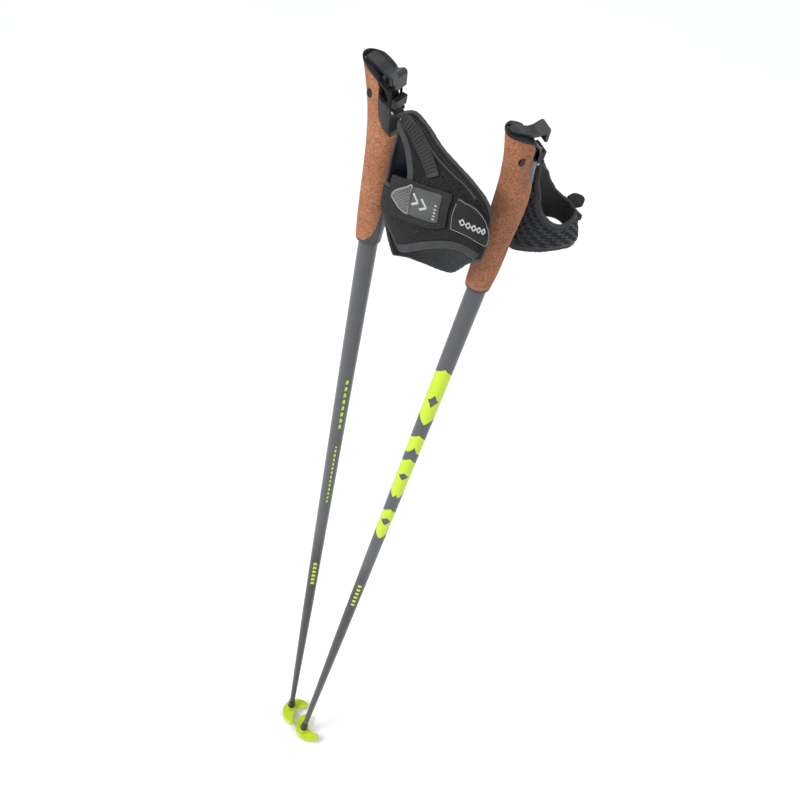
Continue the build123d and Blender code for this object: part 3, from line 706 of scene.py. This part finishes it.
# Outlines as (x, z) in millimetres, in the pole's own frame.
OUTLINES = {
    "rh": {
        "back": (
            (15, 1120), (20, 1126), (28, 1130), (42, 1127), (53, 1122), (62, 1118.5), (72, 1115.5),
            (81, 1113), (90, 1110), (99, 1106), (107, 1101), (113, 1094), (116.4, 1083), (117, 1066),
            (117, 1048), (113, 1044), (104, 1048), (98, 1048), (90, 1045), (80, 1038.5), (71, 1031.5),
            (62, 1023), (55, 1015.5), (48, 1010.5), (43, 1012.5), (36, 1019), (27, 1026), (19, 1029),
            (16.3, 1036), (16.3, 1057), (20, 1061), (27, 1064), (37, 1070), (42.5, 1078), (42.5, 1086),
            (35.5, 1098), (28, 1105), (20, 1110), (15, 1113),
        ),
        "palm": (
            (14.8, 1118), (24, 1114), (33, 1106), (42, 1094), (47, 1080), (50, 1064), (56, 1050),
            (66, 1042), (77, 1041), (90, 1047), (104, 1057), (113, 1064), (117, 1062), (117, 1050),
            (106, 1028), (100, 1020), (95, 1011), (89, 1001), (82, 995.5), (70, 991.5), (56, 989),
            (45, 988), (36, 987), (33, 990), (24, 1012), (16.6, 1034), (16.4, 1060), (16.4, 1100),
        ),
        "pile": (
            (49, 1088), (58, 1096.5), (66, 1104), (78, 1106.5), (88, 1105.5), (98, 1102), (106, 1096),
            (111.5, 1088), (113.8, 1075), (114, 1060), (112.5, 1053), (104, 1056), (97, 1055.5),
            (87, 1052), (75, 1043), (64, 1033), (56, 1024.5), (50, 1022), (42, 1030), (38, 1040),
            (38, 1055), (43, 1066), (48, 1077),
        ),
        "tab": (
            (30, 1078), (33, 1081), (45, 1085), (52, 1087), (64, 1090), (73, 1092), (81, 1093.4),
            (82.8, 1092), (84.4, 1068), (83.4, 1065.2), (72, 1057), (56, 1051), (43, 1046),
            (33, 1042.5), (30.5, 1045), (29.4, 1062),
        ),
        "size": (
            (53.5, 1084.6), (64, 1087.5), (74, 1090), (76.6, 1088), (78.4, 1070), (76.4, 1066.6),
            (65, 1062.4), (53.5, 1059), (52.2, 1061), (51.6, 1082),
        ),
        "mesh": (
            (33, 1062), (35.5, 1069), (41, 1076), (46, 1081), (50.9, 1083.6), (51.4, 1059.6),
            (49, 1056.5), (43, 1056.5), (37.5, 1059),
        ),
        "badge": (
            (87.2, 1093.4), (95, 1095), (103, 1094.4), (109, 1091.4), (113.5, 1086.5), (116, 1079),
            (116.8, 1068), (116.4, 1060.5), (112, 1063), (103, 1066.6), (89.6, 1066.6), (88.2, 1070),
        ),
        "arc": (
            (48, 1014), (54, 1018.5), (62, 1026.5), (71, 1035), (80, 1042), (90, 1048.5), (98, 1051.6),
            (106, 1051.4), (113.5, 1047.5),
        ),
        "hole": (
            (16, 1114.5), (22, 1111.5), (29.5, 1107), (37, 1099.5), (44, 1088.5), (45, 1078),
            (41, 1071),
        ),
        "groove": (
            (24, 1126), (35, 1123.5), (50, 1116), (61, 1111.5), (77, 1107.5), (90, 1104.5), (101, 1099),
        ),
        "web": (
            (24, 1121), (31, 1120), (42, 1114.5), (51, 1109), (58, 1103.5), (63, 1098.5),
        ),
    },
    "lh": {
        "back": (
            (14.5, 1106), (18, 1106), (32, 1089), (43, 1073), (50, 1064.5), (56, 1057), (67, 1047),
            (76, 1041), (83, 1034.5), (88, 1022), (91.5, 1008), (89, 1006.5), (84, 1010), (77, 1016),
            (68, 1021), (60, 1022), (50, 1014), (42, 1004), (33, 998), (24, 1000), (17, 1012),
            (16.3, 1028), (16.6, 1044), (24, 1047), (32, 1052), (36, 1060), (34, 1070), (27, 1082),
            (20, 1094), (16.4, 1101),
        ),
        "palm": (
            (14.8, 1104), (18, 1098), (20, 1088), (26, 1072), (30, 1059), (36, 1049), (44, 1041),
            (53, 1034), (63, 1030), (70, 1031), (76, 1032.5), (80.4, 1034), (83.5, 1030), (90, 1014),
            (94, 1004), (92, 996.5), (84, 997), (75, 999.5), (62, 1002), (49, 1004), (34, 1007),
            (25, 1008.5), (18.5, 1012), (16.4, 1018), (16.3, 1050), (16.3, 1090),
        ),
        "pile": (
            (40, 1069), (46, 1064), (54, 1054), (65, 1044.5), (76, 1038), (82, 1031), (86.5, 1017),
            (85, 1013.5), (77, 1020), (67, 1025), (58, 1025), (48, 1017), (40, 1008), (32, 1004),
            (25, 1007), (22, 1018), (23, 1034), (34, 1046), (40, 1058),
        ),
        "tab": (
            (22.6, 1048), (25, 1051), (34, 1053.5), (46, 1052), (56, 1048.5), (62.4, 1046), (64, 1044),
            (64, 1026), (62.4, 1024), (46, 1022), (24, 1021), (21.8, 1023), (21.8, 1036),
        ),
        "size": (
            (39.5, 1051), (49, 1049), (57, 1046.6), (58.6, 1044.8), (58.6, 1028), (57, 1026),
            (48, 1025.4), (39, 1025.2), (37.6, 1026.6), (37.8, 1049.6),
        ),
        "mesh": (
            (25, 1038), (27.5, 1044), (31, 1048.5), (37, 1050.4), (36.3, 1025.6), (32, 1025.6),
            (28, 1028), (26, 1033),
        ),
        "badge": (
            (69.4, 1042.6), (73, 1040.4), (79, 1035.5), (84, 1027), (87, 1017), (84, 1014),
            (77, 1019.4), (70.4, 1023.4), (69.2, 1026),
        ),
        "arc": (
            (44, 1010), (51, 1017.5), (59, 1024.6), (68, 1024.6), (77, 1020), (86, 1012.5),
        ),
        "hole": (
            (17, 1102), (22.5, 1096), (29.5, 1084.5), (36.5, 1072), (38.5, 1060), (34, 1051.5),
        ),
        "groove": (
            (21, 1100), (29, 1089.5), (40, 1072.5), (53, 1056), (64, 1046), (74, 1039.5),
        ),
        "web": (
            (20, 1098.5), (26, 1091), (32, 1082), (38, 1073), (43, 1065),
        ),
    },
}
# Where the webbing leaves the strap bar, and its first bend: (x, y outwards, z) in millimetres.
WEB_STARTS = {"rh": ((8.9, 0, 1114.4), (14, 2.8, 1115.4)), "lh": ((8.8, 0, 1113.6), (13.5, 2.8, 1110.2))}
# One palm scale, in metres.
SCALE_WIDE = 0.0105
SCALE_HIGH = 0.0054
# Layers on the cuff, as heights outside its oval: underside, face, and the face's soft crown.
PANEL = (-3.0 * MM, -0.9 * MM, 0.8 * MM)
PILE = (-0.6 * MM, 0.0, 0.5 * MM)
BAND = (0.9 * MM, 2.2 * MM, 0.3 * MM)
LABEL = (2.3 * MM, 3.1 * MM, 0.25 * MM)
BADGE = (0.4 * MM, 2.0 * MM, 0.3 * MM)
MESH_OUT = 2.75 * MM


def scale_relief(arc, z, edge):
    """Rows of overlapped wavy scales, fading to a plain border."""
    row = z / SCALE_HIGH
    shift = 0.5 if math.floor(row) % 2 else 0.0
    bow = 0.32 * math.cos(2 * math.pi * (arc / SCALE_WIDE + shift))
    tall = (row + bow) % 1.0
    lift = (1 - tall) ** 1.5 * min(1.0, tall * 9)
    return (0.0019 * lift - 0.0005) * min(1.0, max(0.0, (edge - 0.004) / 0.002))


def fuzz_relief(arc, z, edge):
    """Uneven tufts, coarse and fine."""
    coarse = 0.00055 * noise.noise(Vector((arc * 900, z * 900, 0)))
    return coarse + 0.0002 * noise.noise(Vector((arc * 2300, z * 2300, 5)))


def knit_relief(arc, z, edge):
    """A fine knit."""
    return 0.00010 * math.sin(arc * 2600) * math.sin(z * 2600)


def glove_panels(hand, cuff, shapes):
    """The padded back and palm panels, and the loop pile on the back."""
    back = cloth_panel(
        f"{hand}_glove_back_cloth", cuff, shapes["back"], True, PANEL, 2 * MM, "glove_fabric"
    )
    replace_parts(back, f"{hand}_glove_back")
    palm = cloth_panel(
        f"{hand}_glove_palm_cloth", cuff, shapes["palm"], False, PANEL, 1 * MM, "palm_fabric",
        relief=scale_relief,
    )
    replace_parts(palm, f"{hand}_glove_palm")
    pile = cloth_panel(
        f"{hand}_loop_pile", cuff, shapes["pile"], True, PILE, 1 * MM, "glove_fabric", "loop_pile",
        fuzz_relief,
    )
    return [back, palm, pile]


def glove_edges(hand, cuff, shapes):
    """Bindings, padded rolls, the edge cord and the seams of the two panels."""
    pieces = [
        binding(f"{hand}_back_binding", cuff, shapes["back"], True, 1.5 * MM, -1.7 * MM),
        binding(f"{hand}_palm_binding", cuff, shapes["palm"], False, 1.6 * MM, -1.6 * MM, slot="palm_fabric"),
        flat_binding(f"{hand}_wrist_roll", cuff, shapes["arc"], 3.5 * MM),
        flat_binding(f"{hand}_thumb_roll", cuff, shapes["hole"], 2.9 * MM),
        binding(f"{hand}_edge_cord", cuff, shapes["groove"], True, 0.85 * MM, 0.1 * MM, closed=False),
    ]
    for name, side in (("back", True), ("palm", False)):
        pieces.append(
            seam(
                f"{hand}_{name}_seam", cuff, shapes[name], side, 3.6 * MM, -0.15 * MM,
                2.6 * MM, 1.9 * MM, 0.22 * MM, "glove_fabric", "grey_thread",
            )
        )
    return pieces


def closure_pieces(hand, cuff, shapes):
    """The closure band with its edge and seam, the size label with its marks, and the mesh arrow."""
    band = cloth_panel(
        f"{hand}_closure_band", cuff, shapes["tab"], True, BAND, 1.2 * MM, "tab_fabric", relief=knit_relief
    )
    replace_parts(band, f"{hand}_closure_tab")
    edge = binding(
        f"{hand}_tab_binding", cuff, shapes["tab"], True, 1.15 * MM, 1.7 * MM,
        slot="tab_fabric", finish="tab_fabric",
    )
    stitches = seam(
        f"{hand}_tab_seam", cuff, shapes["tab"], True, 2.6 * MM, 2.5 * MM,
        2.2 * MM, 1.6 * MM, 0.2 * MM, "tab_fabric", "grey_thread",
    )
    rim = binding(
        f"{hand}_label_rim", cuff, shapes["size"], True, 0.55 * MM, 3.1 * MM,
        slot="patch_rubber", finish="patch_rubber",
    )
    label = cloth_panel(f"{hand}_size_label", cuff, shapes["size"], True, LABEL, 1 * MM, "patch_rubber")
    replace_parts(label, f"{hand}_size_patch")
    marks = label_marks(hand, cuff, shapes["size"])
    return [band, edge, stitches, rim, label, marks, mesh_arrow(hand, cuff, shapes["mesh"])]


def badge_pieces(hand, cuff, shapes):
    """The stitched badge at the end of the closure."""
    badge = cloth_panel(
        f"{hand}_badge_cloth", cuff, shapes["badge"], True, BADGE, 1.2 * MM, "badge_fabric"
    )
    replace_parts(badge, f"{hand}_badge_panel")
    stitches = seam(
        f"{hand}_badge_stitching", cuff, shapes["badge"], True, 1.4 * MM, 2.15 * MM,
        1.9 * MM, 1.4 * MM, 0.2 * MM, "badge_fabric", "white_thread",
    )
    return [badge, stitches, badge_pattern(hand, cuff, shapes["badge"])]


def build_glove(hand):
    """One glove: all its pieces ride on the strap, except the closure's, which ride on the tab."""
    cuff = Cuff(hand)
    shapes = OUTLINES[hand]
    on_strap = glove_panels(hand, cuff, shapes) + glove_edges(hand, cuff, shapes)
    on_tab = closure_pieces(hand, cuff, shapes)
    on_strap += badge_pieces(hand, cuff, shapes)
    on_strap.append(webbing(hand, cuff))
    on_strap.append(loose_end(cuff) if hand == "lh" else thread_tail(cuff))
    for piece in on_strap:
        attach(piece, f"{hand}_strap")
    for piece in on_tab:
        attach(piece, f"{hand}_tab")


def centre_of(cuff, outline):
    """The middle of an outline, as (arc, height)."""
    return np.array(cuff.flat(outline)).mean(0)


def raised_bar(cuff, start, end, width, low, high):
    """A small raised bar on the cuff between two flat points."""
    line = smooth_line([start, end], 0.0012)
    spots = [cuff.point(arc, z, (low + high) / 2) for arc, z in line]
    half = (high - low) / 2
    return sweep_spots(spots, lambda i: oval(width / 2, half, 8, 0.5))


def label_marks(hand, cuff, outline):
    """Generic raised marks on the size label: two chevrons and a row of dots."""
    arc, z = centre_of(cuff, outline)
    parts = []
    for k in (-1, 0):
        tip = (arc + (k * 5.5 + 2.0) * MM, z)
        for rise in (-5.5, 5.5):
            tail = (tip[0] - 4 * MM, z + rise * MM)
            parts.append(raised_bar(cuff, tail, tip, 2.1 * MM, 3.0 * MM, 3.55 * MM))
    for k in range(-2, 3):
        dot = (arc + 6.5 * MM, z + k * 3.4 * MM)
        parts.append(raised_bar(cuff, dot, (dot[0] + 1.3 * MM, dot[1]), 1.4 * MM, 3.0 * MM, 3.5 * MM))
    return make_object(f"{hand}_label_marks", *join_parts(parts), "patch_rubber", "white_thread")


def badge_pattern(hand, cuff, outline):
    """Generic woven pattern on the badge: a line of small diamonds."""
    arc, z = centre_of(cuff, outline)
    parts = []
    for k in range(-2, 3):
        middle = (arc + k * 4.6 * MM, z - k * 0.5 * MM)
        corners = ((-1.9, 0), (0, 2.9), (1.9, 0), (0, -2.9))
        for n, (dx, dz) in enumerate(corners):
            ex, ez = corners[(n + 1) % 4]
            start = (middle[0] + dx * MM, middle[1] + dz * MM)
            end = (middle[0] + ex * MM, middle[1] + ez * MM)
            parts.append(raised_bar(cuff, start, end, 1.15 * MM, 2.0 * MM, 2.6 * MM))
    return make_object(f"{hand}_badge_pattern", *join_parts(parts), "badge_fabric", "white_thread")


def mesh_arrow(hand, cuff, outline):
    """An arrow of open net over the end of the tab: fine bars round small cells, with a bound edge."""
    ring = smooth_line(cuff.flat(outline), 0.0009, closed=True)
    points, _, triangles = flat_cloth(ring, 0.0019)
    middles = np.array([points[list(t)].mean(0) for t in triangles])
    edges = {}
    for t, tri in enumerate(triangles):
        for k in range(3):
            edges.setdefault(tuple(sorted((tri[k], tri[(k + 1) % 3]))), []).append(t)
    parts = []
    for pair in edges.values():
        if len(pair) == 2:
            ends = [cuff.point(*middles[t], MESH_OUT) for t in pair]
            parts.append(sweep_spots(ends, lambda i: oval(0.33 * MM, 0.25 * MM, 6)))
    path, normals = cuff_line(cuff, outline, MESH_OUT, True, 0.0012)
    parts.append(sweep(path, normals, lambda i: oval(0.7 * MM, 0.45 * MM, 8), True))
    made = make_object(f"{hand}_mesh_arrow", *join_parts(parts), "mesh_fabric")
    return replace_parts(made, f"{hand}_mesh_patch")


def webbing(hand, cuff):
    """Ladder webbing: a loop round the strap bar, then a ribbed band onto the glove."""
    turn = cuff.pole.to_3x3()
    bar = Vector(joint(f"{hand}_strap_swing")["pos_m"])
    start, bend = WEB_STARTS[hand]
    route = []
    for (x, y, z), lean in ((start, (0, 1, 0)), (bend, (0.2, 0.9, 0.25))):
        spot = cuff.pole @ (Vector((x, cuff.side * y, z)) * MM)
        route.append((*spot, *(turn @ Vector((lean[0], cuff.side * lean[1], lean[2])).normalized())))
    spots = [cuff.point(arc, z, 1.3 * MM) for arc, z in cuff.flat(OUTLINES[hand]["web"])]
    for i, (spot, normal) in enumerate(spots):
        along = spots[min(i + 1, len(spots) - 1)][0] - spots[max(i - 1, 0)][0]
        route.append((*spot, *normal.cross(along).normalized()))
    line = smooth_line([[v / MM for v in p[:3]] + list(p[3:]) for p in route], 0.9)
    path = [Vector(p[:3]) * MM for p in line]
    acrosses = [Vector(p[3:]).normalized() for p in line]
    normals = []
    for i, across in enumerate(acrosses):
        ahead = path[min(i + 1, len(path) - 1)] - path[max(i - 1, 0)]
        normals.append(ahead.cross(across).normalized())
    halves = [(4.2 + 1.2 * min(1.0, i / 20)) * MM for i in range(len(path))]
    parts = [sweep(path, normals, lambda i: oval(halves[i], 0.75 * MM, 14, 0.4))]
    for edge in (-1, 1):
        rail = [p + a * (edge * (h - 0.5 * MM)) for p, a, h in zip(path, acrosses, halves)]
        parts.append(sweep(rail, normals, lambda i: oval(0.75 * MM, 1.1 * MM, 8)))
    for i in range(8, len(path) - 3, 3):
        reach = halves[i] - 0.9 * MM
        shares = (-1, -0.5, 0, 0.5, 1)
        rung = [path[i] + acrosses[i] * (s * reach) + normals[i] * (0.95 * MM) for s in shares]
        parts.append(sweep(rung, [normals[i]] * 5, lambda k: oval(0.72 * MM, 0.85 * MM, 6)))
    ring, ups = [], []
    for k in range(28):
        a = 2 * math.pi * k / 28
        out = turn @ Vector((math.cos(a), 0, math.sin(a)))
        ring.append(bar + out * (2.1 * MM))
        ups.append(out)
    parts.append(sweep(ring, ups, lambda i: oval(4.2 * MM, 0.8 * MM, 12, 0.5), True))
    made = make_object(f"{hand}_ladder_webbing", *join_parts(parts), "webbing")
    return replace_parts(made, f"{hand}_web_strap")


def loose_end(cuff):
    """The closure's loose end beyond the badge: two rounded folds of the band."""
    parts = []
    for points, half in (
        (((72, 14, 1042), (78, 16, 1041), (86, 18, 1036), (93, 20, 1030), (97.5, 20, 1024)), 5.6),
        (((75, 13, 1036), (82, 14, 1029), (90, 15.5, 1020), (96, 17, 1014), (101.5, 18.5, 1008.5)), 3.6),
    ):
        line = smooth_line([[v * MM for v in p] for p in points], 0.001)
        path = [cuff.pole @ Vector(p) for p in line]
        up = cuff.pole.to_3x3() @ Vector((-0.35, 0.9, 0.1)).normalized()

        def section(i, half=half, last=len(path) - 1):
            near_end = min(1.0, math.sqrt(max(0.05, (last - i) / 4)))
            return oval(half * MM * near_end, 1.25 * MM, 14, 0.6)

        parts.append(sweep(path, [up] * len(path), section))
    return make_object("lh_loose_end", *join_parts(parts), "tab_fabric")


def thread_tail(cuff):
    """A short frayed thread at the lower corner of the cuff."""
    normal = cuff.pole.to_3x3() @ Vector((0, -1, 0))
    parts = []
    for dx, dz in ((0, 0), (0.8, -0.7), (-0.5, 0.6)):
        points = (
            (24, -9, 1009),
            (22.5 + dx, -9.5, 1007 + dz),
            (20.5 + dx, -10 + dx, 1007.5 + dz),
            (18.5 + dx, -10, 1006 + 2 * dz),
        )
        line = smooth_line([[v * MM for v in p] for p in points], 0.0006)
        path = [cuff.pole @ Vector(p) for p in line]
        parts.append(sweep(path, [normal] * len(path), lambda i: oval(0.2 * MM, 0.2 * MM, 6)))
    return make_object("rh_thread_tail", *join_parts(parts), "glove_fabric", "grey_thread")


for hand in HANDS:
    build_glove(hand)


def build_spring(hand):
    """A close-wound coil on the lever pin, with one leg down to the floor of the hollow."""
    low, high = local_box(f"{hand}_lever_spring")
    pin = POLES[hand].inverted() @ Vector(joint(f"{hand}_lever_press")["pos_m"])
    path, normals = [], []
    turns, wire, coil_radius = 5, 0.22 * MM, 1.75 * MM
    reach = high[1] - low[1] - 2 * wire
    for k in range(turns * 20 + 1):
        a = 2 * math.pi * k / 20
        out = Vector((math.cos(a), 0, math.sin(a)))
        drift = Vector((0, low[1] + wire + reach * k / (turns * 20), 0))
        path.append(POLES[hand] @ (Vector((pin.x, 0, pin.z)) + out * coil_radius + drift))
        normals.append(POLES[hand].to_3x3() @ out)
    coil = sweep(path, normals, lambda i: oval(wire, wire, 8))
    start = Vector((pin.x + coil_radius, low[1] + wire, pin.z))
    foot = Vector((pin.x + 0.2 * MM, low[1] + wire + 1 * MM, low[2] + wire))
    leg = sweep([POLES[hand] @ start, POLES[hand] @ foot], [normals[0]] * 2, lambda i: oval(wire, wire, 8))
    made = make_object(f"{hand}_spring_coil", *join_parts([coil, leg]), "steel")
    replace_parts(made, f"{hand}_lever_spring")
    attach(made, f"{hand}_pole")


for hand in HANDS:
    build_spring(hand)


# ================= stage, light, camera =================
SKY_COLOUR = (0.96, 0.98, 1.0, 1)
SKY_STRENGTH = 0.30
FLOOR_SIZE = 24
# Suns: (name, direction they shine from, strength); each is SUN_SPREAD degrees wide.
SUNS = (("sun_left", (-0.9, -1.1, 2.4), 1.42), ("sun_right", (1.5, -0.4, 2.4), 0.90))
SUN_SPREAD = 45
# Soft boxes: (name, place, watts, size), aimed at the grips.
SOFT_BOXES = (("soft_box", (-0.5, -1.4, 2.2), 22.0, 0.5), ("rim", (0.6, 1.7, 2.0), 10.0, 1.0))
LIGHT_AIM = Vector((0.05, 0.02, 0.9))


def build_camera(scene):
    data = bpy.data.cameras.new("camera")
    data.lens = CAMERA_LENS
    data.sensor_width = SENSOR
    camera = bpy.data.objects.new("camera", data)
    turn = Matrix.Rotation(math.radians(CAMERA_TURN), 4, "Z")
    tilt = Matrix.Rotation(math.radians(90 - CAMERA_DOWN), 4, "X")
    roll = Matrix.Rotation(math.radians(CAMERA_ROLL), 4, "Z")
    camera.matrix_world = Matrix.Translation(CAMERA_PLACE) @ turn @ tilt @ roll
    scene.collection.objects.link(camera)
    scene.camera = camera


def build_floor():
    paper = Finish("floor_paper", Roughness=0.9)
    tint = paper.ramp(paper.noise(1.6, detail=2.0), (0.35, 0.0), (0.65, 1.0))
    paper.set("Base Color", paper.mix(tint, (0.90, 0.92, 0.94), (0.95, 0.95, 0.95)))
    bpy.ops.mesh.primitive_plane_add(size=FLOOR_SIZE)
    floor = bpy.context.object
    floor.name = "floor"
    floor.data.materials.append(paper.mat)


def build_lights(scene):
    world = bpy.data.worlds.new("studio")
    world.use_nodes = True
    sky = world.node_tree.nodes["Background"].inputs
    sky[0].default_value = SKY_COLOUR
    sky[1].default_value = SKY_STRENGTH
    scene.world = world
    for name, place, strength in SUNS:
        data = bpy.data.lights.new(name, "SUN")
        data.energy = strength
        data.angle = math.radians(SUN_SPREAD)
        lamp = bpy.data.objects.new(name, data)
        lamp.rotation_euler = Vector(place).to_track_quat("Z", "Y").to_euler()
        scene.collection.objects.link(lamp)
    for name, place, watts, size in SOFT_BOXES:
        data = bpy.data.lights.new(name, "AREA")
        data.energy = watts
        data.size = size
        lamp = bpy.data.objects.new(name, data)
        lamp.location = place
        lamp.rotation_euler = (LIGHT_AIM - Vector(place)).to_track_quat("-Z", "Y").to_euler()
        scene.collection.objects.link(lamp)


def build_stage():
    scene = bpy.context.scene
    scene.view_settings.view_transform = "Standard"
    build_camera(scene)
    build_floor()
    build_lights(scene)


build_stage()
